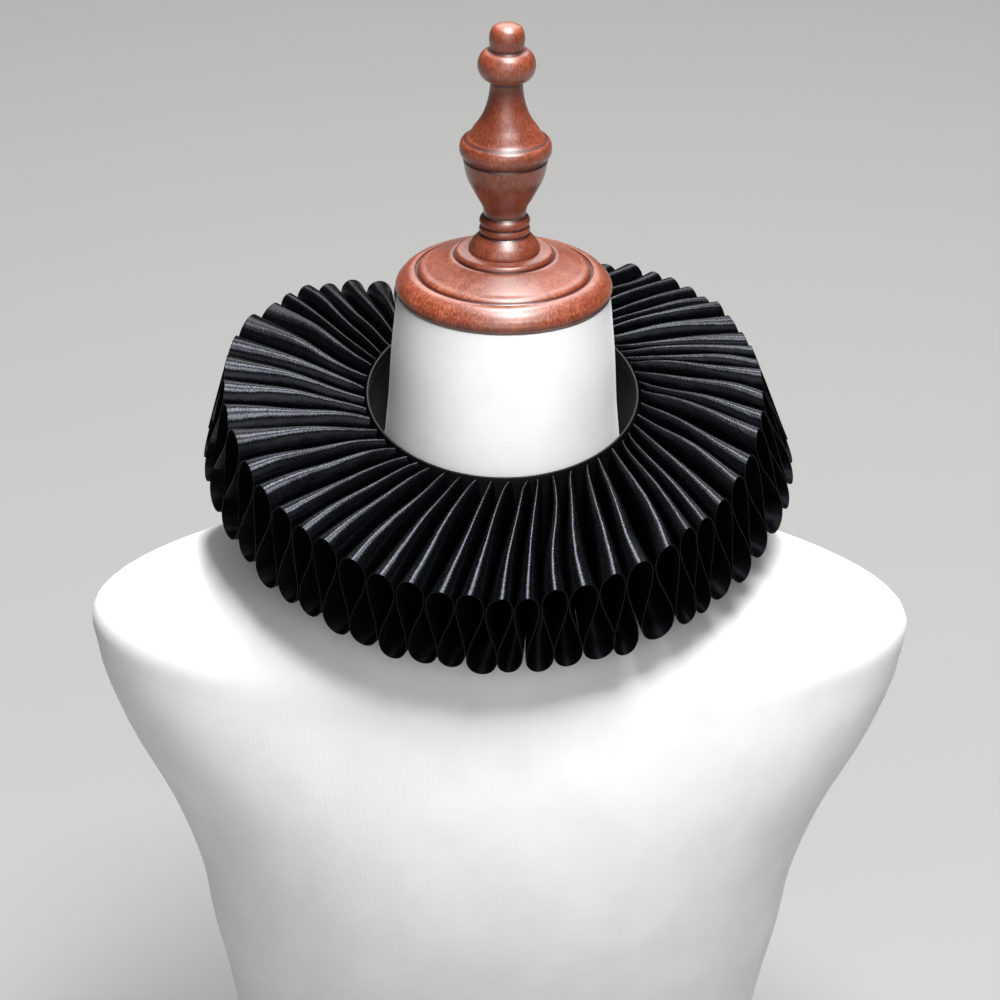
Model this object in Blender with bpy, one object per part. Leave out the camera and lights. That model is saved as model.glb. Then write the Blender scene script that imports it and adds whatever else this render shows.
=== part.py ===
"""A pleated black ruff collar resting on a limbless dress form with a turned wood neck cap.

Metres, +Z up, the front of the collar towards -Y. The origin is the centre of the form's
flat underside. The cloth pieces are walls of their own thickness: a strip set into
rounded pleats, the band that it is sewn to, and the tapes that close the band behind.
"""

import math
from collections import namedtuple

import bmesh
import bpy
from mathutils import Matrix, Vector

# Seams and seats: pieces that touch stand this far apart.
SEAM = 0.0003

# The step, along and across a cloth surface, over which its direction is measured.
NUDGE = 1e-4

# Dress form, from its underside to the cap.
NECK_TOP_HEIGHT = 0.5127
FORM_SIDES = 44

# Neck cap and finial, turned on one axis.
CAP_RIM_RADIUS = 0.0521
CAP_SIDES = 48
FINIAL_SIDES = 28

# Neckband: a ring tipped forward, with one end drawn in under the other behind.
BAND_CENTRE = Vector((0.0, -0.004, 0.4625))
BAND_TILT = math.radians(14.0)
BAND_RADIUS = 0.0653
BAND_HEIGHT = 0.0472
BAND_FLARE = 0.0035
BAND_WALL = 0.0016
BAND_LAP_STEP = 0.0047
BAND_LAP_BEGINS = math.radians(140)
BAND_FIRST_END = math.radians(-179.5)
BAND_TAB_END = math.radians(203)
BAND_COLUMNS = 72

# Hook and loop tapes, between the band's lapped ends.
TAPE_WALL = 0.001
TAPE_BEGINS = math.radians(183)
TAPE_ENDS = math.radians(200)
TAPE_MARGIN = 0.008
TAPE_COLUMNS = 6

# Ruff strip. A bulge is how far each loop swells past its even width, as a phase, and the
# end phase is what is left open between the strip's ends.
STRIP_WALL = 0.001
STRIP_BELOW_BAND_TOP = 0.0011
STRIP_SEAM = 0.0008
LOOP_HEIGHT_AT_BAND = 0.044
LOOP_HEIGHT_AT_EDGE = 0.050
BULGE_AT_BAND = 1.25
BULGE_AT_EDGE = 1.8
CROWN_DOME = 0.002
STRIP_END_PHASE = 0.08
SAG_BEGINS = math.radians(-125)
SAG_LENGTH = math.radians(40)
SAG_DEPTH = 0.012
STRIP_ROWS = 4

# Where the pleats' crowns stand at the outer edge, in degrees from the front, one strip's end
# to the other. No two are equally wide.
CROWN_DEGREES = (
    *(-190.5, -183.5, -177.5, -170.5, -164.5, -158.5, -152.0, -145.5, -139.5, -133.0),
    *(-127.8, -122.8, -112.5, -102.5, -93.8, -86.2, -79.0, -69.5, -62.0, -55.5, -48.5),
    *(-43.0, -37.0, -30.5, -24.0, -18.0, -11.7, -6.0, 0.3, 5.5, 11.0, 17.0, 24.0, 29.5),
    *(37.0, 42.5, 47.5, 54.0, 60.5, 67.2, 75.5, 82.0, 89.0, 95.7, 100.5, 105.3, 110.8),
    *(119.0, 124.0, 128.8, 134.0, 139.5, 144.5, 150.5, 157.0, 163.5),
)
PLEATS = len(CROWN_DEGREES)

# How the pleats stray up from even, in metres. Each wave has its height, its rate for each
# radian along the strip, and its start.
Wave = namedtuple("Wave", "height rate start")
UPWARD_WAVES = (Wave(0.0009, 0.61, 2.0), Wave(0.0007, 0.23, 0.0))

# Where the outline of one half pleat is sampled, as a phase from its crown.
HALF_PLEAT_PHASES = (0.0, 0.3, 0.75, math.pi / 2, math.pi - 0.75, math.pi - 0.3)

# How the ruff lies, by direction in degrees from the front, positive towards +X: its
# reach from the band, the slope of its top down from the band's plane, how far its outer
# face leans in under the crowns, and how far round the band the pleats' inner ends stand.
Lie = namedtuple("Lie", "degrees reach slope lean slant")
RUFF_LIES = (
    Lie(-180, 0.0704, 16.3, 9.1, 14.8),
    Lie(-135, 0.0709, 7.3, -0.8, 16.5),
    Lie(-90, 0.0694, -8.4, -13.2, 7.3),
    Lie(-45, 0.0707, 1.8, -4.2, 5.2),
    Lie(0, 0.0701, 13.5, 4.4, 9.0),
    Lie(45, 0.0642, 5.3, -9.2, 16.0),
    Lie(90, 0.0602, -3.3, -20.2, 16.3),
    Lie(135, 0.0643, 3.6, -5.8, 11.0),
)

# Level sections of the form: half its width, its depth before and behind the axis, and
# how square the outline is, where 2 is an ellipse and less draws the shoulders out.
Section = namedtuple("Section", "height half_width front back squareness")
FORM_SECTIONS = (
    Section(0.0000, 0.1225, 0.0790, 0.0890, 2.15),
    Section(0.0040, 0.1255, 0.0820, 0.0920, 2.15),
    Section(0.0350, 0.1212, 0.0785, 0.0885, 2.15),
    Section(0.0700, 0.1225, 0.0815, 0.0885, 2.15),
    Section(0.1100, 0.1305, 0.0880, 0.0920, 2.15),
    Section(0.1450, 0.1370, 0.0960, 0.0970, 2.15),
    Section(0.1750, 0.1440, 0.1040, 0.1020, 2.15),
    Section(0.2090, 0.1500, 0.1110, 0.1060, 2.15),
    Section(0.2490, 0.1650, 0.1140, 0.1090, 2.10),
    Section(0.2890, 0.1870, 0.1110, 0.1090, 2.05),
    Section(0.3250, 0.1995, 0.1030, 0.1040, 2.00),
    Section(0.3450, 0.1998, 0.0975, 0.0985, 1.95),
    Section(0.3590, 0.1835, 0.0920, 0.0910, 1.80),
    Section(0.3700, 0.1610, 0.0870, 0.0850, 1.68),
    Section(0.3800, 0.1360, 0.0810, 0.0770, 1.56),
    Section(0.3900, 0.1105, 0.0740, 0.0690, 1.46),
    Section(0.3990, 0.0880, 0.0699, 0.0630, 1.42),
    Section(0.4070, 0.0740, 0.0671, 0.0595, 1.50),
    Section(0.4150, 0.0640, 0.0650, 0.0575, 1.80),
    Section(0.4240, 0.0598, 0.0640, 0.0565, 2.00),
    Section(0.4470, 0.0562, 0.0630, 0.0535, 2.00),
    Section(0.4850, 0.0538, 0.0570, 0.0525, 2.00),
    Section(NECK_TOP_HEIGHT, 0.0512, 0.0512, 0.0512, 2.00),
)

# Turned profiles: radius, and height above the neck's top.
Turn = namedtuple("Turn", "radius height")
CAP_PROFILE = (
    Turn(0.0000, SEAM),
    Turn(0.0495, SEAM),
    Turn(0.0514, 0.0015),
    Turn(CAP_RIM_RADIUS, 0.0035),
    Turn(0.0511, 0.0063),
    Turn(0.0482, 0.0095),
    Turn(0.0445, 0.0115),
    Turn(0.0422, 0.0114),
    Turn(0.0412, 0.0125),
    Turn(0.0370, 0.0145),
    Turn(0.0310, 0.0175),
    Turn(0.0265, 0.0197),
    Turn(0.0238, 0.0205),
    Turn(0.0228, 0.0223),
    Turn(0.0190, 0.0229),
    Turn(0.0000, 0.0229),
)
FINIAL_PROFILE = (
    Turn(0.0000, 0.0229 + SEAM),
    Turn(0.0172, 0.0229 + SEAM),
    Turn(0.0170, 0.0242),
    Turn(0.0158, 0.0268),
    Turn(0.0136, 0.0295),
    Turn(0.0113, 0.0318),
    Turn(0.0119, 0.0336),
    Turn(0.0112, 0.0359),
    Turn(0.0119, 0.0382),
    Turn(0.0100, 0.0414),
    Turn(0.0102, 0.0434),
    Turn(0.0146, 0.0524),
    Turn(0.0184, 0.0604),
    Turn(0.0202, 0.0690),
    Turn(0.0203, 0.0708),
    Turn(0.0220, 0.0752),
    Turn(0.0208, 0.0793),
    Turn(0.0189, 0.0803),
    Turn(0.0154, 0.0848),
    Turn(0.0118, 0.0903),
    Turn(0.0092, 0.0973),
    Turn(0.0078, 0.1080),
    Turn(0.0112, 0.1100),
    Turn(0.0137, 0.1166),
    Turn(0.0112, 0.1226),
    Turn(0.0083, 0.1240),
    Turn(0.0083, 0.1310),
    Turn(0.0068, 0.1348),
    Turn(0.0034, 0.1365),
    Turn(0.0000, 0.1369),
)


def clear_scene():
    for thing in list(bpy.data.objects):
        bpy.data.objects.remove(thing, do_unlink=True)


def material(name, colour, roughness, sheen=0.0, metallic=0.0):
    made = bpy.data.materials.new(name)
    made.use_nodes = True
    shader = made.node_tree.nodes["Principled BSDF"]
    shader.inputs["Base Color"].default_value = (*colour, 1.0)
    shader.inputs["Roughness"].default_value = roughness
    shader.inputs["Metallic"].default_value = metallic
    shader.inputs["Sheen Weight"].default_value = sheen
    made.diffuse_color = (*colour, 1.0)
    return made


def finish_object(name, bm, surface, smooth_below):
    """Makes one closed object from the mesh, faces outwards, smooth below an angle in degrees."""
    bmesh.ops.recalc_face_normals(bm, faces=bm.faces[:])
    mesh = bpy.data.meshes.new(name)
    bm.to_mesh(mesh)
    bm.free()
    mesh.shade_smooth()
    mesh.set_sharp_from_angle(angle=math.radians(smooth_below))
    mesh.materials.append(surface)
    made = bpy.data.objects.new(name, mesh)
    bpy.context.collection.objects.link(made)
    return made


# Dress form


def section_ring(section):
    """Points round one level section, from the front towards +X."""
    power = 2 / section.squareness
    ring = []
    for side in range(FORM_SIDES):
        angle = math.tau * side / FORM_SIDES
        across, along = math.sin(angle), -math.cos(angle)
        depth = section.front if along < 0 else section.back
        x = math.copysign(abs(across) ** power, across) * section.half_width
        y = math.copysign(abs(along) ** power, along) * depth
        ring.append(Vector((x, y, section.height)))
    return ring


def dress_form(surface):
    bm = bmesh.new()
    rings = [[bm.verts.new(point) for point in section_ring(s)] for s in FORM_SECTIONS]
    for low, high in zip(rings, rings[1:]):
        for side in range(FORM_SIDES):
            after = (side + 1) % FORM_SIDES
            bm.faces.new((low[side], low[after], high[after], high[side]))
    bm.faces.new(rings[0])
    bm.faces.new(rings[-1])
    return finish_object("dress_form_body", bm, surface, smooth_below=50)


# Turned wood


def turned(name, profile, sides, surface):
    """Spins a profile, given from the lower pole to the upper one, about the form's axis."""
    bm = bmesh.new()
    points = [bm.verts.new((t.radius, 0, NECK_TOP_HEIGHT + t.height)) for t in profile]
    edges = [bm.edges.new(pair) for pair in zip(points, points[1:])]
    bmesh.ops.spin(
        bm, geom=points + edges, cent=(0, 0, 0), axis=(0, 0, 1), angle=math.tau, steps=sides
    )
    bmesh.ops.remove_doubles(bm, verts=bm.verts[:], dist=1e-6)
    return finish_object(name, bm, surface, smooth_below=40)


# Cloth walls


def cloth_wall(name, point, columns, rows, wall, surface):
    """Thickens a surface, point(column, row), equally to both sides into one closed wall."""
    bm = bmesh.new()
    layers = ([], [])
    for column in columns:
        for layer in layers:
            layer.append([])
        for row in rows:
            along = point(column + NUDGE, row) - point(column - NUDGE, row)
            across = point(column, row + NUDGE) - point(column, row - NUDGE)
            offset = along.cross(across).normalized() * (wall / 2)
            centre = point(column, row)
            layers[0][-1].append(bm.verts.new(centre + offset))
            layers[1][-1].append(bm.verts.new(centre - offset))
    for layer in layers:
        for here, there in zip(layer, layer[1:]):
            for row in range(len(rows) - 1):
                bm.faces.new((here[row], there[row], there[row + 1], here[row + 1]))
    first, second = layers
    for row in (0, -1):
        for column in range(len(columns) - 1):
            bm.faces.new(
                (
                    first[column][row],
                    first[column + 1][row],
                    second[column + 1][row],
                    second[column][row],
                )
            )
    for column in (0, -1):
        for row in range(len(rows) - 1):
            bm.faces.new(
                (
                    first[column][row],
                    first[column][row + 1],
                    second[column][row + 1],
                    second[column][row],
                )
            )
    return finish_object(name, bm, surface, smooth_below=50)


def even_steps(start, end, count):
    return [start + (end - start) * step / count for step in range(count + 1)]


def ease(value):
    """Rises smoothly from 0 to 1 as the value does."""
    value = min(max(value, 0.0), 1.0)
    return value * value * (3 - 2 * value)


def tipped(radius, direction, height):
    """A point of the collar's own tipped frame, given round the band's axis."""
    level = Vector((radius * math.sin(direction), -radius * math.cos(direction), height))
    return BAND_CENTRE + Matrix.Rotation(BAND_TILT, 3, "X") @ level


def band_point(direction, down, outward=0.0):
    """A point of the band's middle surface: down runs from 0 at its top edge to 1."""
    lap = BAND_LAP_STEP * ease((direction - BAND_LAP_BEGINS) / (math.pi - BAND_LAP_BEGINS))
    top = tipped(BAND_RADIUS - lap + outward, direction, 0.0)
    flare = BAND_FLARE * down
    return top + Vector(
        (flare * math.sin(direction), -flare * math.cos(direction), -BAND_HEIGHT * down)
    )


def neckband(surface):
    directions = even_steps(BAND_FIRST_END, BAND_TAB_END, BAND_COLUMNS)
    return cloth_wall("neckband", band_point, directions, (0.0, 1.0), BAND_WALL, surface)


def fastening_tape(name, outward, surface):
    """A short tape between the lapped ends of the band, as far out from the tab as given."""
    margin = TAPE_MARGIN / BAND_HEIGHT

    def point(direction, down):
        return band_point(direction, down, outward)

    directions = even_steps(TAPE_BEGINS, TAPE_ENDS, TAPE_COLUMNS)
    return cloth_wall(name, point, directions, (margin, 1 - margin), TAPE_WALL, surface)


# Ruff strip


def lie_at(direction):
    """The ruff's lie in a direction, eased between the table's rows."""
    spacing = math.tau / len(RUFF_LIES)
    place = (direction - math.radians(RUFF_LIES[0].degrees)) / spacing
    row = math.floor(place)
    part = place - row
    before, here, after, beyond = (RUFF_LIES[(row + k) % len(RUFF_LIES)] for k in (-1, 0, 1, 2))
    eased = []
    for a, b, c, d in zip(before, here, after, beyond):
        bend = (3 * (b - c) + d - a) * part
        eased.append(b + part * (c - a + (2 * a - 5 * b + 4 * c - d + bend) * part) / 2)
    return Lie(math.degrees(direction), eased[1], *(math.radians(angle) for angle in eased[2:]))


def stray(waves, phase):
    return sum(wave.height * math.sin(wave.rate * phase + wave.start) for wave in waves)


def crown_direction(phase):
    """The direction at the outer edge, by phase: crown after crown stands 2 pi on."""
    place = phase / math.tau - 1
    before = math.floor(place)
    here, there = (
        CROWN_DEGREES[crown % PLEATS] + 360 * (crown // PLEATS) for crown in (before, before + 1)
    )
    return math.radians(here + (there - here) * (place - before))


def edge_loop(direction):
    """The highest and lowest points of the strip's outer edge in a direction."""
    lie = lie_at(direction)
    radius = BAND_RADIUS + lie.reach * math.cos(lie.slope)
    height = -lie.reach * math.sin(lie.slope)
    height -= SAG_DEPTH * ease((SAG_BEGINS - direction) / SAG_LENGTH)
    bottom_radius = radius - LOOP_HEIGHT_AT_EDGE * math.sin(lie.lean)
    bottom_height = height - LOOP_HEIGHT_AT_EDGE * math.cos(lie.lean)
    return tipped(radius, direction, height), tipped(bottom_radius, direction, bottom_height)


def band_loop(direction):
    """The highest and lowest points of the strip's inner edge in a direction."""
    seam = BAND_WALL / 2 + STRIP_SEAM
    below = STRIP_BELOW_BAND_TOP / BAND_HEIGHT
    return (
        band_point(direction, below, seam),
        band_point(direction, below + LOOP_HEIGHT_AT_BAND / BAND_HEIGHT, seam),
    )


def loop_point(loop, turn):
    top, bottom = loop
    return (top + bottom) / 2 + (top - bottom) / 2 * math.cos(turn)


def strip_point(turn, across):
    """A point of the strip's middle surface; turn gains 2 pi for each pleat."""
    outer_direction = crown_direction(turn + BULGE_AT_EDGE * math.sin(2 * turn))
    unslanted = crown_direction(turn + BULGE_AT_BAND * math.sin(2 * turn))
    inner = loop_point(band_loop(unslanted + lie_at(unslanted).slant), turn)
    outer = loop_point(edge_loop(outer_direction), turn)
    dome = CROWN_DOME * math.sin(math.pi * across) * (1 + math.cos(turn)) / 2
    lift = Vector((0, 0, dome + stray(UPWARD_WAVES, turn) * across))
    return inner.lerp(outer, across) + lift


def ruff_strip(surface):
    turns = [
        half * math.pi + phase
        for half in range(1, 2 * PLEATS + 1)
        for phase in HALF_PLEAT_PHASES
    ]
    turns[0] += STRIP_END_PHASE
    turns.append((2 * PLEATS + 1) * math.pi - STRIP_END_PHASE)
    rows = even_steps(0.0, 1.0, STRIP_ROWS - 1)
    return cloth_wall("ruff_strip", strip_point, turns, rows, STRIP_WALL, surface)


def build():
    clear_scene()
    satin = material("black_satin", (0.012, 0.012, 0.015), 0.38, sheen=0.3)
    lining = material("band_cloth", (0.02, 0.02, 0.024), 0.6)
    tape = material("black_tape", (0.015, 0.015, 0.016), 0.85)
    cover = material("white_cover", (0.86, 0.86, 0.87), 0.75)
    wood = material("red_brown_wood", (0.30, 0.075, 0.032), 0.32)
    ruff_strip(satin)
    neckband(lining)
    lap_seam = (BAND_LAP_STEP - BAND_WALL - 2 * TAPE_WALL) / 3
    tape_outward = BAND_WALL / 2 + lap_seam + TAPE_WALL / 2
    fastening_tape("fastening_hook_tape", tape_outward, tape)
    fastening_tape("fastening_loop_tape", BAND_LAP_STEP - tape_outward, tape)
    dress_form(cover)
    turned("form_neck_cap", CAP_PROFILE, CAP_SIDES, wood)
    turned("form_finial", FINIAL_PROFILE, FINIAL_SIDES, wood)


build()
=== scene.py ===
"""Looks of a pleated black satin ruff on a white dress form with a turned wood neck cap.

The file follows the object as it is put together: the covered form, its turned wood, the
neckband with its fastening and stitching, the pleated strip, then floor, light and camera.
Metres, +Z up, the front of the collar towards -Y.
"""

import math

import bpy
import numpy as np
from mathutils import Matrix, Vector


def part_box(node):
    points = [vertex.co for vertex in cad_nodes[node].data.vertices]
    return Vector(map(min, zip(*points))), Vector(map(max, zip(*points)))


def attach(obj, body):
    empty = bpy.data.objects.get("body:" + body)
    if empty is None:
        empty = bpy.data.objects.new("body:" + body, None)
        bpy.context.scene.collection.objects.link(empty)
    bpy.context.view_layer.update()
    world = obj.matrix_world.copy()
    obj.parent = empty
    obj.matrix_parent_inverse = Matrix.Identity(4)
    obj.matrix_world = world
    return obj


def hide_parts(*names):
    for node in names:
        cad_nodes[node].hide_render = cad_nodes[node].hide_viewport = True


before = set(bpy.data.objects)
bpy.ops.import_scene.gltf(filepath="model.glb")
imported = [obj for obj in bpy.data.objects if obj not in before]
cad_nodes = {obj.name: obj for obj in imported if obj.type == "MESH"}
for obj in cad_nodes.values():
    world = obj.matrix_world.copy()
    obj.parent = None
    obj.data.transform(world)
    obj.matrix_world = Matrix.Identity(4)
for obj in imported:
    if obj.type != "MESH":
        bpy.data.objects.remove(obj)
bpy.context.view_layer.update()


# Dress form: a moulded torso and neck without limbs, cut flat at the hip. A white fine knit
# cover is stretched over it, so its wales run up and down and spread over the shoulders. The
# cover is drawn under the base and closed by one seam down the centre of the back.
FORM_ROWS_PER_SECTION = 4
FORM_COLUMNS_PER_SIDE = 4
COVER_WALES = 400
COVER_COURSES = 420
COVER_WHITE = (0.80, 0.795, 0.80)
COVER_SHADE = (0.74, 0.73, 0.74)
COVER_RIB_DEPTH = 0.00004
SEAM_HALF_WIDTH = 0.0022
SEAM_PROUD = 0.0005
HEM_BOTTOM, HEM_TOP = 0.006, 0.016
HEM_PROUD = 0.0007
MERGE_DISTANCE = 2e-6
# A wave texture of scale 1 repeats every 0.314 units.
WAVE_LENGTH = math.pi / 10


def through(points, places, at):
    """The smooth curve through points, one at each of places, read where at says."""
    gaps = np.diff(places)
    rises = np.diff(points, axis=0) / gaps.reshape(-1, *[1] * (points.ndim - 1))
    shares = (gaps[1:] / (gaps[1:] + gaps[:-1])).reshape(-1, *[1] * (points.ndim - 1))
    slopes = np.concatenate(
        [rises[:1], shares * rises[:-1] + (1 - shares) * rises[1:], rises[-1:]]
    )
    before = np.clip(np.searchsorted(places, at, side="right") - 1, 0, len(gaps) - 1)
    gap = gaps[before].reshape(-1, *[1] * (points.ndim - 1))
    part = (at - places[before]).reshape(-1, *[1] * (points.ndim - 1)) / gap
    return (
        points[before] * (1 + 2 * part) * (1 - part) ** 2
        + slopes[before] * gap * part * (1 - part) ** 2
        + points[before + 1] * part**2 * (3 - 2 * part)
        + slopes[before + 1] * gap * part**2 * (part - 1)
    )


def finer(places, parts):
    """The same places with evenly spaced ones added between each two."""
    steps = np.linspace(0, len(places) - 1, (len(places) - 1) * parts + 1)
    return np.interp(steps, range(len(places)), places)


def deselect():
    bpy.ops.object.select_all(action="DESELECT")


def grid_piece(name, points):
    """A grid primitive with its vertices moved to points, which are rows by columns by xyz."""
    rows, columns = points.shape[:2]
    deselect()
    bpy.ops.mesh.primitive_grid_add(x_subdivisions=columns - 1, y_subdivisions=rows - 1, size=1)
    made = bpy.context.object
    made.name = made.data.name = name
    made.data.vertices.foreach_set("co", points.astype(np.float32).ravel())
    made.data.update()
    return made


def edit(piece, select, *steps):
    """Runs edit mode steps on the vertices or faces of a piece that select leaves selected."""
    deselect()
    piece.select_set(True)
    bpy.context.view_layer.objects.active = piece
    bpy.ops.object.mode_set(mode="EDIT")
    bpy.ops.mesh.select_all(action=select)
    for step in steps:
        step()
    bpy.ops.object.mode_set(mode="OBJECT")


def merge_doubles():
    bpy.ops.mesh.remove_doubles(threshold=MERGE_DISTANCE)


def outwards():
    bpy.ops.mesh.normals_make_consistent(inside=False)


def smooth(piece, degrees):
    deselect()
    piece.select_set(True)
    bpy.context.view_layer.objects.active = piece
    bpy.ops.object.shade_smooth_by_angle(angle=math.radians(degrees))


def apply_modifier(piece, kind, **settings):
    deselect()
    piece.select_set(True)
    bpy.context.view_layer.objects.active = piece
    modifier = piece.modifiers.new(kind.title(), kind)
    for setting, value in settings.items():
        setattr(modifier, setting, value)
    bpy.ops.object.modifier_apply(modifier=modifier.name)


def new_material(name, colour, roughness, **sockets):
    """A Principled material with the values that are the same all over it."""
    made = bpy.data.materials.new(name)
    made.use_nodes = True
    shader = made.node_tree.nodes["Principled BSDF"]
    shader.inputs["Base Color"].default_value = (*colour, 1)
    shader.inputs["Roughness"].default_value = roughness
    for socket, value in sockets.items():
        shader.inputs[socket.replace("_", " ").title().replace("Ior", "IOR")].default_value = value
    return made, made.node_tree, shader


def add_node(tree, kind, sockets, **settings):
    """A shader node; each socket takes a value, or a link where a socket is given."""
    made = tree.nodes.new("ShaderNode" + kind)
    for setting, value in settings.items():
        setattr(made, setting, value)
    for socket, value in sockets.items():
        if isinstance(value, bpy.types.NodeSocket):
            tree.links.new(value, made.inputs[socket])
        else:
            made.inputs[socket].default_value = value
    return made


def math_node(tree, operation, *values):
    return add_node(tree, "Math", dict(enumerate(values)), operation=operation).outputs[0]


def colour_ramp(tree, factor, *stops):
    """Colours by factor; each stop is a place and a colour."""
    ramp = add_node(tree, "ValToRGB", {"Fac": factor})
    elements = ramp.color_ramp.elements
    while len(elements) < len(stops):
        elements.new(0.5)
    for element, (place, colour) in zip(elements, stops):
        element.position = place
        element.color = (*colour, 1)
    return ramp.outputs["Color"]


def knit_cover(name, wales, courses):
    """White knit on the piece's own UV map: wales across u, courses up v."""
    made, tree, shader = new_material(name, COVER_WHITE, 0.82, sheen_weight=0.15)
    shader.inputs["Sheen Roughness"].default_value = 0.4
    place = add_node(tree, "TexCoord", {}).outputs["UV"]
    wale = add_node(
        tree,
        "TexWave",
        {"Vector": place, "Scale": wales * WAVE_LENGTH, "Distortion": 0.6, "Detail": 1.0},
        bands_direction="X",
    ).outputs["Fac"]
    course = add_node(
        tree,
        "TexWave",
        {"Vector": place, "Scale": courses * WAVE_LENGTH, "Distortion": 0.4},
        bands_direction="Y",
    ).outputs["Fac"]
    rib = math_node(tree, "MULTIPLY_ADD", course, 0.25, wale)
    where = add_node(tree, "TexCoord", {}).outputs["Object"]
    mottle = add_node(tree, "TexNoise", {"Vector": where, "Scale": 38.0, "Detail": 4.0})
    shade = math_node(tree, "MULTIPLY_ADD", rib, 0.05, mottle.outputs["Fac"])
    colour = colour_ramp(tree, shade, (0.3, COVER_SHADE), (0.75, COVER_WHITE))
    tree.links.new(colour, shader.inputs["Base Color"])
    bump = add_node(
        tree, "Bump", {"Height": rib, "Strength": 0.5, "Distance": COVER_RIB_DEPTH}
    )
    tree.links.new(bump.outputs["Normal"], shader.inputs["Normal"])
    return made


body_points = np.unique(
    np.array([v.co for v in cad_nodes["dress_form_body"].data.vertices]).round(6), axis=0
)
body_heights = np.unique(body_points[:, 2].round(5))
body_rings = []
for height in body_heights:
    ring = body_points[abs(body_points[:, 2] - height) < 1e-4]
    body_rings.append(ring[np.argsort(np.arctan2(ring[:, 0] + 1e-9, -ring[:, 1]))])
body_rings = np.array(body_rings)
FORM_SIDES = body_rings.shape[1]


def form_surface(heights, sides):
    """Points of the form's smooth surface: sides counts its corners from the back, right round."""
    levels = through(body_rings, body_heights, heights)
    wrapped = np.concatenate([levels[:, -3:], levels, levels[:, :4]], axis=1)
    places = np.arange(-3, FORM_SIDES + 4)
    return through(wrapped.transpose(1, 0, 2), places, sides).transpose(1, 0, 2)


form = grid_piece(
    "covered_form",
    form_surface(
        finer(body_heights, FORM_ROWS_PER_SECTION),
        np.linspace(0, FORM_SIDES, FORM_SIDES * FORM_COLUMNS_PER_SIDE + 1),
    ),
)
edit(form, "SELECT", merge_doubles, lambda: bpy.ops.mesh.fill_holes(sides=0), outwards)
smooth(form, 40)
knit = knit_cover("white_knit_cover", COVER_WALES, COVER_COURSES)
form.data.materials.append(knit)
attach(form, "root")
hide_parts("dress_form_body")


# Seam and hem of the cover: the knit tube is closed by one overlocked seam at the centre of the
# back, pressed flat, and its lower edge is turned up once and stitched before it goes under.
def offset_strip(name, heights, sides, proud):
    """A strip of cloth on the form, raised by proud at each of its columns and rows."""
    points = form_surface(heights, sides)
    along = np.gradient(points, axis=1)
    up = np.gradient(points, axis=0)
    away = np.cross(along, up)
    away /= np.linalg.norm(away, axis=2, keepdims=True)
    return grid_piece(name, points + away * proud[..., None])


seam_heights = finer(body_heights[body_heights > HEM_TOP], 5)
seam_sides = np.linspace(-1, 1, 7) * SEAM_HALF_WIDTH
back_girth = np.interp(seam_heights, body_heights, body_rings[:, -1, 1] * math.tau / FORM_SIDES)
seam_places = seam_sides[None, :] / back_girth[:, None]
seam_rise = SEAM_PROUD * (1 - np.linspace(-1, 1, 7) ** 4)
seam_points = np.array(
    [
        form_surface(np.array([height]), FORM_SIDES + places)[0]
        for height, places in zip(seam_heights, seam_places)
    ]
)
seam_points[:, :, 1] += seam_rise
cover_seam = grid_piece("cover_seam", seam_points)
smooth(cover_seam, 60)
cover_seam.data.materials.append(knit_cover("seam_knit", 6, COVER_COURSES))
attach(cover_seam, "root")

hem_rows = np.linspace(HEM_BOTTOM, HEM_TOP, 9)
hem_rise = HEM_PROUD * (1 - np.linspace(-1, 1, 9) ** 4)
hem = offset_strip(
    "cover_hem",
    hem_rows,
    np.linspace(0, FORM_SIDES, FORM_SIDES * FORM_COLUMNS_PER_SIDE + 1),
    np.repeat(hem_rise[:, None], FORM_SIDES * FORM_COLUMNS_PER_SIDE + 1, axis=1),
)
edit(hem, "SELECT", merge_doubles, outwards)
smooth(hem, 60)
hem.data.materials.append(knit_cover("hem_knit", COVER_WALES, 10))
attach(hem, "root")


# Neck cap: one turned piece of close-grained wood that sits on the neck. It has a half-round
# rim, a groove, a long ogee slope and a small raised ring that carries the finial. It is
# stained red-brown and varnished, and its grooves take a darker colour.
TURNED_STEPS = 128
WOOD_DARK = (0.105, 0.016, 0.006)
WOOD_MIDDLE = (0.18, 0.033, 0.012)
WOOD_LIGHT = (0.33, 0.095, 0.046)
WOOD_GROOVE = (0.045, 0.009, 0.005)
CAP_GRAIN = 70.0
FINIAL_GRAIN = 34.0
CAP_SEAM = 0.0003
neck_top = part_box("form_neck_cap")[0].z - CAP_SEAM
CAP_RUNS = (
    ((0.0, 0.0003), (0.0488, 0.0003)),
    ((0.0488, 0.0003), (0.0505, 0.0007), (0.0518, 0.0022), (0.0521, 0.0038), (0.0513, 0.0062)),
    ((0.0513, 0.0062), (0.0484, 0.0096), (0.0446, 0.0117), (0.0430, 0.0119)),
    ((0.0430, 0.0119), (0.0422, 0.0112), (0.0414, 0.0119)),
    ((0.0414, 0.0119), (0.0410, 0.0126), (0.0370, 0.0146), (0.0310, 0.0175), (0.0262, 0.0200)),
    ((0.0262, 0.0200), (0.0247, 0.0203), (0.0240, 0.0198)),
    ((0.0240, 0.0198), (0.0237, 0.0212), (0.0228, 0.0224), (0.0214, 0.0229)),
    ((0.0214, 0.0229), (0.0, 0.0229)),
)
CAP_GROOVES = ((0.0404, 0.0432, 0.0105, 0.0126), (0.0233, 0.0250, 0.0190, 0.0212))


def profile(runs, step=0.0006):
    """Radius and height along runs of smooth curve, with a corner between each two."""
    line = []
    for run in runs:
        run = np.array(run)
        along = np.concatenate([[0], np.cumsum(np.linalg.norm(np.diff(run, axis=0), axis=1))])
        count = max(2, round(along[-1] / step)) if len(run) > 2 else 1
        line += list(through(run, along, np.linspace(0, along[-1], count + 1)))[:-1]
    return line + [np.array(runs[-1][-1])]


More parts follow.
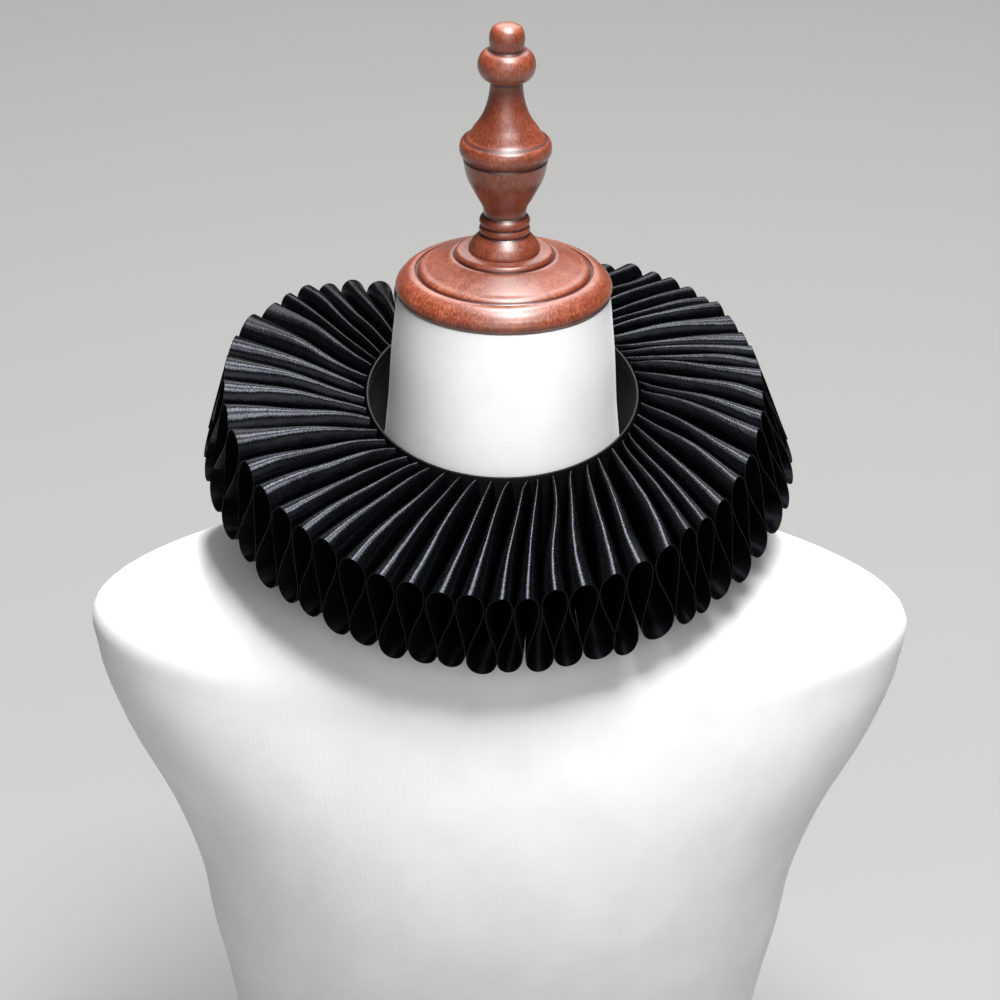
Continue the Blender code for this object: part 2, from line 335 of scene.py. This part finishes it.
def turned_piece(name, runs):
    """A vertex drawn along the profile by extrusion, spun about the neck's axis."""
    line = [Vector((radius, 0, neck_top + height)) for radius, height in profile(runs)]
    deselect()
    bpy.ops.mesh.primitive_plane_add(size=0.001, location=line[0])
    made = bpy.context.object
    made.name = made.data.name = name
    bpy.ops.object.transform_apply(location=True)

    def draw():
        bpy.ops.mesh.merge(type="CENTER")
        for before, after in zip(line, line[1:]):
            bpy.ops.mesh.extrude_region_move(TRANSFORM_OT_translate={"value": after - before})
        bpy.ops.mesh.select_all(action="SELECT")
        bpy.ops.mesh.spin(
            steps=TURNED_STEPS, angle=math.tau, center=(0, 0, 0), axis=(0, 0, 1)
        )
        bpy.ops.mesh.select_all(action="SELECT")
        bpy.ops.mesh.remove_doubles(threshold=1e-5)

    edit(made, "SELECT", draw, outwards)
    smooth(made, 32)
    return made


def turned_wood(name, grain, groove=False):
    """Stained and varnished wood with fine flecks that run along the turned profile."""
    made, tree, shader = new_material(name, WOOD_MIDDLE, 0.38, coat_weight=1.0)
    shader.inputs["Coat Roughness"].default_value = 0.38
    where = add_node(tree, "TexCoord", {}).outputs["Object"]
    flat = add_node(tree, "VectorMath", {0: where, 1: (1, 1, 0)}, operation="MULTIPLY")
    around = add_node(tree, "VectorMath", {0: flat.outputs[0]}, operation="NORMALIZE")
    spread = add_node(
        tree, "VectorMath", {0: around.outputs[0], 1: (grain, grain, 0)}, operation="MULTIPLY"
    )
    radius = add_node(tree, "VectorMath", {0: flat.outputs[0]}, operation="LENGTH")
    height = add_node(tree, "SeparateXYZ", {0: where}).outputs["Z"]
    along = math_node(tree, "MULTIPLY_ADD", radius.outputs["Value"], -1.0, height)
    lift = add_node(tree, "CombineXYZ", {"Z": math_node(tree, "MULTIPLY", along, 420.0)})
    streaked = add_node(
        tree, "VectorMath", {0: spread.outputs[0], 1: lift.outputs[0]}, operation="ADD"
    ).outputs[0]
    fleck = add_node(
        tree, "TexNoise", {"Vector": streaked, "Scale": 1.0, "Detail": 3.0, "Roughness": 0.65}
    ).outputs["Fac"]
    figure = add_node(
        tree, "TexNoise", {"Vector": where, "Scale": 55.0, "Detail": 5.0, "Distortion": 1.2}
    ).outputs["Fac"]
    tone = math_node(tree, "MULTIPLY_ADD", fleck, 0.75, math_node(tree, "MULTIPLY", figure, 0.3))
    if groove:
        colour = colour_ramp(tree, tone, (0.35, WOOD_GROOVE), (0.75, WOOD_DARK))
    else:
        colour = colour_ramp(
            tree, tone, (0.36, WOOD_DARK), (0.50, WOOD_MIDDLE), (0.66, WOOD_LIGHT)
        )
    tree.links.new(colour, shader.inputs["Base Color"])
    gloss = add_node(
        tree,
        "MapRange",
        {"Value": fleck, "From Min": 0.35, "From Max": 0.65, "To Min": 0.28, "To Max": 0.48},
    )
    tree.links.new(gloss.outputs["Result"], shader.inputs["Roughness"])
    bump = add_node(tree, "Bump", {"Height": fleck, "Strength": 0.25, "Distance": 0.0002})
    tree.links.new(bump.outputs["Normal"], shader.inputs["Normal"])
    return made


def darken_grooves(piece, bands):
    """Gives the second material to the faces that lie in these bands of radius and height."""
    for face in piece.data.polygons:
        radius = math.hypot(face.center.x, face.center.y)
        height = face.center.z - neck_top
        if any(a < radius < b and low < height < high for a, b, low, high in bands):
            face.material_index = 1


cap = turned_piece("neck_cap", CAP_RUNS)
cap.data.materials.append(turned_wood("cap_wood", CAP_GRAIN))
cap.data.materials.append(turned_wood("cap_groove_wood", CAP_GRAIN, groove=True))
darken_grooves(cap, CAP_GROOVES)
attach(cap, "root")
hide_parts("form_neck_cap")


# Finial: turned from the same wood and fixed in the cap. Above a flared foot come two beads,
# an urn with a sharp shoulder and a rolled ring, a tapering neck, a ball and a round-topped
# button. The grain runs up it.
FINIAL_RUNS = (
    ((0.0, 0.0232), (0.0172, 0.0232)),
    ((0.0172, 0.0232), (0.0171, 0.0241), (0.0158, 0.0268), (0.0136, 0.0295), (0.0115, 0.0317)),
    ((0.0115, 0.0317), (0.0121, 0.0327), (0.0122, 0.0340), (0.0113, 0.0358)),
    ((0.0113, 0.0358), (0.0120, 0.0368), (0.0121, 0.0384), (0.0101, 0.0412)),
    ((0.0101, 0.0412), (0.0103, 0.0434), (0.0146, 0.0524), (0.0184, 0.0604), (0.0202, 0.0690)),
    ((0.0202, 0.0690), (0.0199, 0.0700), (0.0205, 0.0709)),
    ((0.0205, 0.0709), (0.0217, 0.0725), (0.0220, 0.0754), (0.0209, 0.0786), (0.0196, 0.0796)),
    ((0.0196, 0.0796), (0.0188, 0.0801), (0.0154, 0.0848), (0.0118, 0.0903), (0.0092, 0.0973),
     (0.0080, 0.1040), (0.0077, 0.1086)),
    ((0.0077, 0.1086), (0.0084, 0.1089), (0.0113, 0.1103), (0.0134, 0.1137), (0.0138, 0.1166),
     (0.0131, 0.1200), (0.0112, 0.1227), (0.0088, 0.1239)),
    ((0.0088, 0.1239), (0.0082, 0.1243), (0.0082, 0.1255)),
    ((0.0082, 0.1255), (0.0084, 0.1310), (0.0070, 0.1348), (0.0036, 0.1365), (0.0, 0.1369)),
)
FINIAL_GROOVES = (
    (0.0, 0.0200, 0.0310, 0.0322),
    (0.0, 0.0200, 0.0353, 0.0362),
    (0.0, 0.0200, 0.0404, 0.0424),
    (0.0190, 0.0210, 0.0688, 0.0712),
    (0.0, 0.0200, 0.0790, 0.0802),
    (0.0, 0.0090, 0.1076, 0.1090),
    (0.0, 0.0092, 0.1236, 0.1252),
)

finial = turned_piece("finial", FINIAL_RUNS)
finial.data.materials.append(turned_wood("finial_wood", FINIAL_GRAIN))
finial.data.materials.append(turned_wood("finial_groove_wood", FINIAL_GRAIN, groove=True))
darken_grooves(finial, FINIAL_GROOVES)
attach(finial, "root")
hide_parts("form_finial")


# Neckband: a strip of black cloth folded double, 47 mm deep, which goes once round the neck
# and laps under itself behind. Its fold is the top edge; its rims take a paler grey that paints the
# thin highlight along the fold.
BAND_CENTRE = np.array([0.0, -0.004, 0.4625])
BAND_TILT = math.radians(14)
BAND_RADIUS = 0.0653
BAND_HEIGHT = 0.0472
BAND_FLARE = 0.0035
BAND_WALL = 0.0014
BAND_LAP_STEP = 0.0047
BAND_LAP_BEGINS = math.radians(140)
BAND_FIRST_END = math.radians(-179.5)
BAND_TAB_END = math.radians(203)
BAND_COLUMNS = 320
BAND_ROWS = 16
BAND_BLACK = (0.0010, 0.0010, 0.0012)
# Paler grey: the lighter yarns in the weave, and on the band's rims, its fold among them, a painted
# highlight.
BAND_FLECK_AND_FOLD_HIGHLIGHT = (0.0040, 0.0040, 0.0047)


def eased(value):
    value = np.clip(value, 0, 1)
    return value * value * (3 - 2 * value)


def from_axis(radius, direction, height):
    """Points given round an upright axis, from the front towards +X."""
    return np.stack(
        np.broadcast_arrays(radius * np.sin(direction), -radius * np.cos(direction), height), -1
    )


def tipped(radius, direction, height):
    """Points of the collar's own frame, which leans forward about the band's centre."""
    tilt = np.array(Matrix.Rotation(BAND_TILT, 3, "X"))
    return BAND_CENTRE + from_axis(radius, direction, height) @ tilt.T


def band_point(direction, down, outward=0.0):
    """The band's middle surface: down runs from 0 at its top edge to 1."""
    lap = BAND_LAP_STEP * eased((direction - BAND_LAP_BEGINS) / (math.pi - BAND_LAP_BEGINS))
    flare = from_axis(BAND_FLARE * down, direction, -BAND_HEIGHT * down)
    return tipped(BAND_RADIUS - lap + outward, direction, 0.0) + flare


def weave(name, colour, edge, roughness, across, along, specular):
    """Plain cloth on the piece's own UV map, which is in metres: u along, v down."""
    made, tree, shader = new_material(name, colour, roughness, specular_ior_level=specular)
    place = add_node(tree, "TexCoord", {}).outputs["UV"]
    warp = add_node(
        tree,
        "TexWave",
        {"Vector": place, "Scale": WAVE_LENGTH / along, "Distortion": 0.8, "Detail": 1.0},
        bands_direction="X",
    ).outputs["Fac"]
    weft = add_node(
        tree,
        "TexWave",
        {"Vector": place, "Scale": WAVE_LENGTH / across, "Distortion": 0.8, "Detail": 1.0},
        bands_direction="Y",
    ).outputs["Fac"]
    yarns = math_node(tree, "MULTIPLY", warp, weft)
    fuzz = add_node(tree, "TexNoise", {"Vector": place, "Scale": 900.0, "Detail": 3.0})
    tone = math_node(tree, "MULTIPLY_ADD", yarns, 0.5, fuzz.outputs["Fac"])
    shade = colour_ramp(tree, tone, (0.45, colour), (0.95, edge))
    tree.links.new(shade, shader.inputs["Base Color"])
    bump = add_node(tree, "Bump", {"Height": tone, "Strength": 0.35, "Distance": 0.0002})
    tree.links.new(bump.outputs["Normal"], shader.inputs["Normal"])
    return made


def lay_in_metres(piece, points):
    """Sets the UV map to the cloth's own lengths: u along its columns, v down its rows."""
    middle = points[points.shape[0] // 2]
    along = np.concatenate([[0], np.cumsum(np.linalg.norm(np.diff(middle, axis=0), axis=1))])
    column = points[:, points.shape[1] // 2]
    down = np.concatenate([[0], np.cumsum(np.linalg.norm(np.diff(column, axis=0), axis=1))])
    flat = np.stack(np.meshgrid(along, down), -1).reshape(-1, 2)
    corners = np.empty(len(piece.data.loops), np.int32)
    piece.data.loops.foreach_get("vertex_index", corners)
    piece.data.uv_layers.active.data.foreach_set("uv", flat[corners].astype(np.float32).ravel())


def give_wall(piece, wall, rim):
    """Thickens a surface to both sides; its rim takes the second material where rim is 1."""
    apply_modifier(
        piece, "SOLIDIFY", thickness=wall, offset=0, use_rim=True, material_offset_rim=rim
    )


directions = np.linspace(BAND_FIRST_END, BAND_TAB_END, BAND_COLUMNS + 1)
downs = np.linspace(0, 1, BAND_ROWS + 1)
band_points = band_point(directions[None, :], downs[:, None])
band = grid_piece("neckband_cloth", band_points)
lay_in_metres(band, band_points)
band.data.materials.append(
    weave("band_cloth", BAND_BLACK, BAND_FLECK_AND_FOLD_HIGHLIGHT, 0.5, 0.0005, 0.0005, 0.12)
)
# The rims, the fold among them, take a paler grey cloth as a painted highlight along the top edge.
band.data.materials.append(
    weave("band_fold_painted_highlight", BAND_FLECK_AND_FOLD_HIGHLIGHT, (0.010, 0.010, 0.012), 0.5, 0.0005, 0.0008, 0.2)
)
give_wall(band, BAND_WALL, 1)
apply_modifier(
    band, "BEVEL", width=0.0005, segments=3, limit_method="ANGLE", angle_limit=math.radians(50)
)
smooth(band, 50)
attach(band, "root")
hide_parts("neckband")


# Fastening: two short lengths of black nylon tape, stiff hooks sewn to the outside of the
# underlap and soft loops to the inside of the overlap. They press together behind the neck.
TAPE_WALL = 0.001
TAPE_BEGINS = math.radians(183)
TAPE_ENDS = math.radians(200)
TAPE_MARGIN = 0.008
TAPE_COLUMNS = 24
TAPE_ROWS = 32
HOOKS_OUTWARD = 0.0018
HOOKS_BLACK = (0.006, 0.006, 0.0065)
LOOPS_BLACK = (0.010, 0.010, 0.0105)
NYLON_GREY = (0.022, 0.022, 0.024)


def fastening_tape(name, node, outward, material):
    """A tape that follows the band's lapped end, as far out from the underlap as given."""
    margin = TAPE_MARGIN / BAND_HEIGHT
    directions = np.linspace(TAPE_BEGINS, TAPE_ENDS, TAPE_COLUMNS + 1)
    downs = np.linspace(margin, 1 - margin, TAPE_ROWS + 1)
    points = band_point(directions[None, :], downs[:, None], outward)
    tape = grid_piece(name, points)
    lay_in_metres(tape, points)
    tape.data.materials.append(material)
    give_wall(tape, TAPE_WALL, 0)
    smooth(tape, 50)
    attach(tape, "root")
    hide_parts(node)


hooks = weave("hook_tape", HOOKS_BLACK, NYLON_GREY, 0.45, 0.0012, 0.0012, 0.4)
loops = weave("loop_tape", LOOPS_BLACK, NYLON_GREY, 0.9, 0.0007, 0.0009, 0.1)
fastening_tape("hook_tape", "fastening_hook_tape", HOOKS_OUTWARD, hooks)
fastening_tape("loop_tape", "fastening_loop_tape", BAND_LAP_STEP - HOOKS_OUTWARD, loops)


# Band stitching: two rows of small black running stitches, one under the band's fold and one
# above its lower edge, which show inside the band. They hold the pleats to it. Each stitch
# is a short capsule of thread, laid along the band and half sunk in the cloth.
STITCH_ROWS_DOWN = (0.0042, 0.0430)
STITCH_PITCH = 0.0034
STITCH_LENGTH = 0.0021
STITCH_THICKNESS = 0.00042
STITCH_FIRST = math.radians(-176)
STITCH_LAST = math.radians(182)
THREAD_BLACK = (0.0045, 0.0045, 0.0052)
THREAD_LIGHT = (0.016, 0.016, 0.018)


def stitch_row(name, below):
    """Repeats a capsule along x, then lays every copy at its own place inside the band."""
    steps = round((STITCH_LAST - STITCH_FIRST) * BAND_RADIUS / STITCH_PITCH)
    bpy.ops.mesh.primitive_uv_sphere_add(segments=8, ring_count=6, radius=STITCH_THICKNESS / 2)
    row = bpy.context.object
    row.name = name
    row.rotation_euler = (0, math.pi / 2, 0)
    row.scale = (1, 1, STITCH_LENGTH / STITCH_THICKNESS)
    bpy.ops.object.transform_apply(location=False, rotation=True, scale=True)
    apply_modifier(
        row,
        "ARRAY",
        count=steps + 1,
        use_relative_offset=False,
        use_constant_offset=True,
        constant_offset_displace=(STITCH_PITCH, 0, 0),
    )
    corners = np.empty(3 * len(row.data.vertices), np.float32)
    row.data.vertices.foreach_get("co", corners)
    along, sunk, up = corners.reshape(-1, 3).T.astype(float)
    direction = STITCH_FIRST + along * (STITCH_LAST - STITCH_FIRST) / (steps * STITCH_PITCH)
    wander = 0.0003 * np.sin(5.1 * np.round(along / STITCH_PITCH))
    down = (below + wander - up) / BAND_HEIGHT
    placed = band_point(direction, down, sunk - BAND_WALL / 2)
    row.data.vertices.foreach_set("co", placed.astype(np.float32).ravel())
    row.data.update()
    edit(row, "SELECT", outwards)
    row.data.materials.append(thread)
    smooth(row, 60)
    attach(row, "root")


thread, tree, shader = new_material("thread", THREAD_BLACK, 0.5)
where = add_node(tree, "TexCoord", {}).outputs["Object"]
twist = add_node(tree, "TexNoise", {"Vector": where, "Scale": 1400.0, "Detail": 2.0})
shade = colour_ramp(tree, twist.outputs["Fac"], (0.35, THREAD_BLACK), (0.7, THREAD_LIGHT))
tree.links.new(shade, shader.inputs["Base Color"])
for row_name, row_below in zip(("upper_stitching", "lower_stitching"), STITCH_ROWS_DOWN):
    stitch_row(row_name, row_below)


# Ruff strip: one long strip of black satin, shiny side up, folded to and fro into rounded
# figure-eight pleats. Its inner edge is sewn to the band and its outer edge is a narrow
# selvedge. The pleats stand out stiffly from the neck, a little aslant, and no two lie alike.
STRIP_WALL = 0.0005
STRIP_SEAM = 0.0015
STRIP_BELOW_BAND_TOP = 0.0011
LOOP_HEIGHT_AT_BAND = 0.044
LOOP_HEIGHT_AT_EDGE = 0.050
BULGE_AT_BAND = 0.75
BULGE_AT_EDGE = 2.1
BULGE_BELOW = 2.2
SQUEEZE_AT_BAND = 0.5
CROWN_DOME = 0.002
TROUGH_SAG = 0.001
STRIP_END_PHASE = 0.08
SAG_BEGINS = math.radians(-125)
SAG_LENGTH = math.radians(40)
SAG_DEPTH = 0.012
STRIP_STEPS_PER_PLEAT = 40
STRIP_ROWS = 18
# Where the pleats' crowns stand at the outer edge, in degrees from the front.
CROWN_DEGREES = np.array(
    (
        *(-190.5, -183.5, -177.5, -170.5, -164.5, -158.5, -152.0, -145.5, -139.5, -133.0),
        *(-127.8, -122.8, -112.5, -102.5, -93.8, -86.2, -79.0, -69.5, -62.0, -55.5, -48.5),
        *(-43.0, -37.0, -30.5, -24.0, -18.0, -11.7, -6.0, 0.3, 5.5, 11.0, 17.0, 24.0, 29.5),
        *(37.0, 42.5, 47.5, 54.0, 60.5, 67.2, 75.5, 82.0, 89.0, 95.7, 100.5, 105.3, 110.8),
        *(119.0, 124.0, 128.8, 134.0, 139.5, 144.5, 150.5, 157.0, 163.5),
    )
)
PLEATS = len(CROWN_DEGREES)
# Reach from the band, slope of the top down from the band's plane, inward lean of the outer
# face and slant of the pleats, in degrees, at eight directions from the back by way of the
# left side.
RUFF_LIES = np.array(
    (
        (0.0704, 16.3, 9.1, 14.8),
        (0.0709, 7.3, -0.8, 16.5),
        (0.0694, -8.4, -13.2, 7.3),
        (0.0707, 1.8, -4.2, 5.2),
        (0.0701, 13.5, 4.4, 9.0),
        (0.0642, 5.3, -9.2, 16.0),
        (0.0602, -3.3, -20.2, 16.3),
        (0.0643, 3.6, -5.8, 11.0),
    )
)
# Waves by which the pleats stray upwards: height, rate for each radian of turn, and start.
UPWARD_WAVES = ((0.0009, 0.61, 2.0), (0.0007, 0.23, 0.0))
# How far single folds stray sideways: bowed, bent to an S, pinched at the band, and leaning.
FOLD_BOW = 0.0009
FOLD_BEND = 0.0006
FOLD_PINCH = 0.0011
FOLD_PINCH_LENGTH = 0.10
FOLD_LEAN = 0.0010
# How far the lower loops stray sideways at their outer ends: by direction, in degrees.
LOWER_STRAYS = np.array(
    ((-75, 0.0), (-40, -0.0014), (-16, -0.0034), (-4, -0.0024), (28, 0.0022), (60, 0.0))
)
FOLD_RIPPLE = 0.0003
SATIN_BLACK = (0.0005, 0.0005, 0.0007)
SATIN_LIGHT = (0.0022, 0.0022, 0.0030)
SATIN_BACK = (0.0004, 0.0004, 0.0005)
# The selvedge grey is paler than the satin; it paints the thin highlight along the edges of the
# loops.
SELVEDGE_GREY_PAINTED_HIGHLIGHT = (0.0018, 0.0018, 0.0022)
SELVEDGE_LIGHT = (0.006, 0.006, 0.0075)
# The lower loops get a dull copy of the satin with little specular, as painted shade inside them:
# the cosine of the turn below which the satin is duller.
SHADED_LOOPS_BELOW = -0.45
drawn = np.random.default_rng(11)


def lie_at(direction):
    """Reach, slope, lean and slant in each direction, eased between the table's rows."""
    spacing = math.tau / len(RUFF_LIES)
    place = (direction + math.pi) / spacing
    row = np.floor(place).astype(int)
    part = (place - row)[..., None]
    a, b, c, d = (RUFF_LIES[(row + k) % len(RUFF_LIES)] for k in (-1, 0, 1, 2))
    lie = b + part * (c - a + (2 * a - 5 * b + 4 * c - d + (3 * (b - c) + d - a) * part) * part) / 2
    return lie[..., 0], *(np.radians(lie[..., column]) for column in (1, 2, 3))


def crown_direction(phase):
    """The direction at the outer edge, by phase: crown after crown stands 2 pi on."""
    crowns = [CROWN_DEGREES[-1] - 360, *CROWN_DEGREES, CROWN_DEGREES[0] + 360]
    return np.interp(phase, math.tau * np.arange(PLEATS + 2), np.radians(crowns))


def edge_loop(direction):
    """The highest and lowest points of the strip's outer edge in each direction."""
    reach, slope, lean, _ = lie_at(direction)
    radius = BAND_RADIUS + reach * np.cos(slope)
    height = -reach * np.sin(slope) - SAG_DEPTH * eased((SAG_BEGINS - direction) / SAG_LENGTH)
    bottom_radius = radius - LOOP_HEIGHT_AT_EDGE * np.sin(lean)
    bottom_height = height - LOOP_HEIGHT_AT_EDGE * np.cos(lean)
    return tipped(radius, direction, height), tipped(bottom_radius, direction, bottom_height)


def band_loop(direction):
    """The highest and lowest points of the strip's inner edge in each direction."""
    below = STRIP_BELOW_BAND_TOP / BAND_HEIGHT
    return (
        band_point(direction, below, STRIP_SEAM),
        band_point(direction, below + LOOP_HEIGHT_AT_BAND / BAND_HEIGHT, STRIP_SEAM),
    )


def loop_point(loop, turn):
    top, bottom = loop
    return (top + bottom) / 2 + (top - bottom) / 2 * np.cos(turn)[..., None]


def fold_noise(turn, size):
    """An amount for each fold, eased from fold to fold; neighbours differ less than others."""
    amounts = drawn.normal(0, size, 2 * PLEATS + 4)
    amounts = (amounts[:-2] + 2 * amounts[1:-1] + amounts[2:]) / 2
    return np.interp(turn / math.pi, range(2 * PLEATS + 2), np.clip(amounts, -2 * size, 2 * size))


def strip_point(turn, across):
    """The strip's middle surface; turn gains 2 pi for each pleat."""
    top_share = (1 + np.cos(turn)) / 2
    bulge = BULGE_AT_BAND + (BULGE_AT_EDGE - BULGE_AT_BAND) * across
    bulge += (BULGE_BELOW - bulge) * (1 - top_share)
    squeeze = SQUEEZE_AT_BAND * (1 - across) * np.sin(turn) * abs(np.sin(turn))
    direction = crown_direction(turn + bulge * np.sin(2 * turn) - squeeze)
    inner = loop_point(band_loop(direction + lie_at(direction)[3]), turn)
    outer = loop_point(edge_loop(direction), turn)
    point = inner + (outer - inner) * across[..., None]
    upward = sum(height * np.sin(rate * turn + start) for height, rate, start in UPWARD_WAVES)
    ripple = fold_noise(turn, FOLD_RIPPLE) * np.sin(math.tau * across)
    ripple += fold_noise(turn, FOLD_RIPPLE) * np.sin(3 * math.pi * across)
    curve = CROWN_DOME * top_share - TROUGH_SAG * (1 - top_share)
    point[..., 2] += curve * np.sin(math.pi * across) + upward * across + ripple
    sideways = fold_noise(turn, FOLD_BOW) * np.sin(math.pi * across)
    sideways += fold_noise(turn, FOLD_BEND) * np.sin(math.tau * across)
    pinch = np.clip(1 - across / FOLD_PINCH_LENGTH, 0, 1) ** 2
    sideways += (FOLD_PINCH + fold_noise(turn, FOLD_PINCH)) * 0.5 * pinch
    stray = np.interp(direction, np.radians(LOWER_STRAYS[:, 0]), LOWER_STRAYS[:, 1])
    sideways += (fold_noise(turn, FOLD_LEAN) + stray) * (1 - top_share) * across
    fade = np.clip(np.minimum(turn - math.pi, (2 * PLEATS + 1) * math.pi - turn) / math.tau, 0, 1)
    point[..., 0] += fade * sideways * np.cos(direction)
    point[..., 1] += fade * sideways * np.sin(direction)
    return point


def satin(name, dark, light, roughness, specular):
    """Satin on the piece's own UV map in metres: its floats lie along the strip."""
    made, tree, shader = new_material(
        name, dark, roughness, specular_ior_level=specular, anisotropic=0.8
    )
    shader.inputs["Anisotropic Rotation"].default_value = 0.25
    shader.inputs["Specular Tint"].default_value = (0.82, 0.87, 1.0, 1)
    thread = add_node(tree, "Tangent", {}, direction_type="UV_MAP", uv_map="UVMap")
    tree.links.new(thread.outputs["Tangent"], shader.inputs["Tangent"])
    place = add_node(tree, "TexCoord", {}).outputs["UV"]
    floats = add_node(tree, "Mapping", {"Vector": place, "Scale": (900, 2600, 1)}).outputs[0]
    grain = add_node(
        tree, "TexNoise", {"Vector": floats, "Scale": 1.0, "Detail": 2.0, "Roughness": 0.7}
    ).outputs["Fac"]
    shade = colour_ramp(tree, grain, (0.35, dark), (0.75, light))
    tree.links.new(shade, shader.inputs["Base Color"])
    gloss = add_node(
        tree,
        "MapRange",
        {
            "Value": grain,
            "From Min": 0.3,
            "From Max": 0.7,
            "To Min": roughness - 0.08,
            "To Max": roughness + 0.14,
        },
    )
    tree.links.new(gloss.outputs["Result"], shader.inputs["Roughness"])
    dents = add_node(tree, "TexNoise", {"Vector": place, "Scale": 110.0, "Detail": 1.0})
    handled = add_node(
        tree, "Bump", {"Height": dents.outputs["Fac"], "Strength": 0.5, "Distance": 0.0012}
    )
    bump = add_node(
        tree,
        "Bump",
        {
            "Height": grain,
            "Strength": 0.35,
            "Distance": 0.0003,
            "Normal": handled.outputs["Normal"],
        },
    )
    tree.links.new(bump.outputs["Normal"], shader.inputs["Normal"])
    return made


even_turns = np.linspace(math.pi, (2 * PLEATS + 1) * math.pi, PLEATS * STRIP_STEPS_PER_PLEAT + 1)
turns = even_turns - 0.25 * np.sin(2 * even_turns)
turns[0] += STRIP_END_PHASE
turns[-1] -= STRIP_END_PHASE
acrosses = np.linspace(0, 1, STRIP_ROWS + 1) ** 1.25
strip_points = strip_point(*np.meshgrid(turns, acrosses))
ruff = grid_piece("satin_ruff", strip_points)
lay_in_metres(ruff, strip_points)
edit(ruff, "SELECT", bpy.ops.mesh.flip_normals)
satin_back = satin("satin_back", SATIN_BACK, SATIN_BLACK, 0.7, 0.05)
# The strip's edges take the paler selvedge satin, a painted highlight along the loops.
selvedge = satin("selvedge", SELVEDGE_GREY_PAINTED_HIGHLIGHT, SELVEDGE_LIGHT, 0.5, 0.12)
# The second face satin is the first with little specular: painted shade for the lower loops.
for face in (
    satin("satin_face", SATIN_BLACK, SATIN_LIGHT, 0.25, 0.25),
    satin("satin_painted_loop_shade", SATIN_BLACK, SATIN_LIGHT, 0.5, 0.07),
):
    for layer in (face, satin_back, selvedge):
        ruff.data.materials.append(layer)
# Faces of the lower loops take that dull satin, which paints the shade inside them.
painted_shade_faces = np.cos((turns[:-1] + turns[1:]) / 2) < SHADED_LOOPS_BELOW
ruff.data.polygons.foreach_set(
    "material_index", np.tile(np.where(painted_shade_faces, 3, 0), STRIP_ROWS).astype(np.int32)
)
apply_modifier(
    ruff,
    "SOLIDIFY",
    thickness=STRIP_WALL,
    offset=0,
    material_offset=1,
    material_offset_rim=2,
)
smooth(ruff, 60)
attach(ruff, "root")
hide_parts("ruff_strip")


# Floor, light and camera: a pale floor, one large softbox overhead, a little to the front and
# right, a narrower one overhead behind it for the sheen on the pleats, and weak wide ones in
# front and behind. The camera looks down on the collar from the front, and leans a little.
FLOOR_GREY = (0.27, 0.268, 0.262)
CAMERA_TARGET = Vector((-0.0005, 0.0, 0.402))
CAMERA_DISTANCE = 2.3
CAMERA_ELEVATION = math.radians(26)
CAMERA_ROLL = math.radians(0.75)
CAMERA_LENS = 168.98

bpy.ops.mesh.primitive_plane_add(size=14)
floor = bpy.context.object
floor.name = "floor"
floor_paint, _, _ = new_material("pale_floor", FLOOR_GREY, 0.9)
floor.data.materials.append(floor_paint)


def softbox(name, place, aim, width, depth, watts):
    lamp = bpy.data.lights.new(name, "AREA")
    lamp.shape = "RECTANGLE"
    lamp.size = width
    lamp.size_y = depth
    lamp.energy = watts
    made = bpy.data.objects.new(name, lamp)
    bpy.context.scene.collection.objects.link(made)
    made.location = place
    made.rotation_euler = (Vector(aim) - Vector(place)).to_track_quat("-Z", "Y").to_euler()
    made.visible_camera = False


softbox("overhead_softbox", (0.40, -1.00, 3.14), (0.0, -0.05, 0.42), 1.05, 1.05, 130)
softbox("top_strip", (0.10, 0.62, 3.2), (0.0, 0.0, 0.42), 0.6, 1.1, 108)
softbox("back_softbox", (0.10, 2.2, 2.2), (0.0, 0.25, 0.0), 2.4, 1.2, 30)
softbox("front_softbox", (0.1, -3.0, 1.7), (0.0, 0.0, 0.25), 2.8, 1.8, 42)

world = bpy.data.worlds.new("studio")
world.use_nodes = True
world.node_tree.nodes["Background"].inputs["Color"].default_value = (0.9, 0.92, 1.0, 1)
world.node_tree.nodes["Background"].inputs["Strength"].default_value = 0.03
bpy.context.scene.world = world
bpy.context.scene.view_settings.view_transform = "Standard"

lens = bpy.data.cameras.new("camera")
lens.lens = CAMERA_LENS
camera = bpy.data.objects.new("camera", lens)
bpy.context.scene.collection.objects.link(camera)
back = Vector((0, -math.cos(CAMERA_ELEVATION), math.sin(CAMERA_ELEVATION)))
level_camera = Matrix.Rotation(math.pi / 2 - CAMERA_ELEVATION, 4, "X")
leaning_camera = level_camera @ Matrix.Rotation(CAMERA_ROLL, 4, "Z")
camera.matrix_world = Matrix.Translation(CAMERA_TARGET + back * CAMERA_DISTANCE) @ leaning_camera
bpy.context.scene.camera = camera
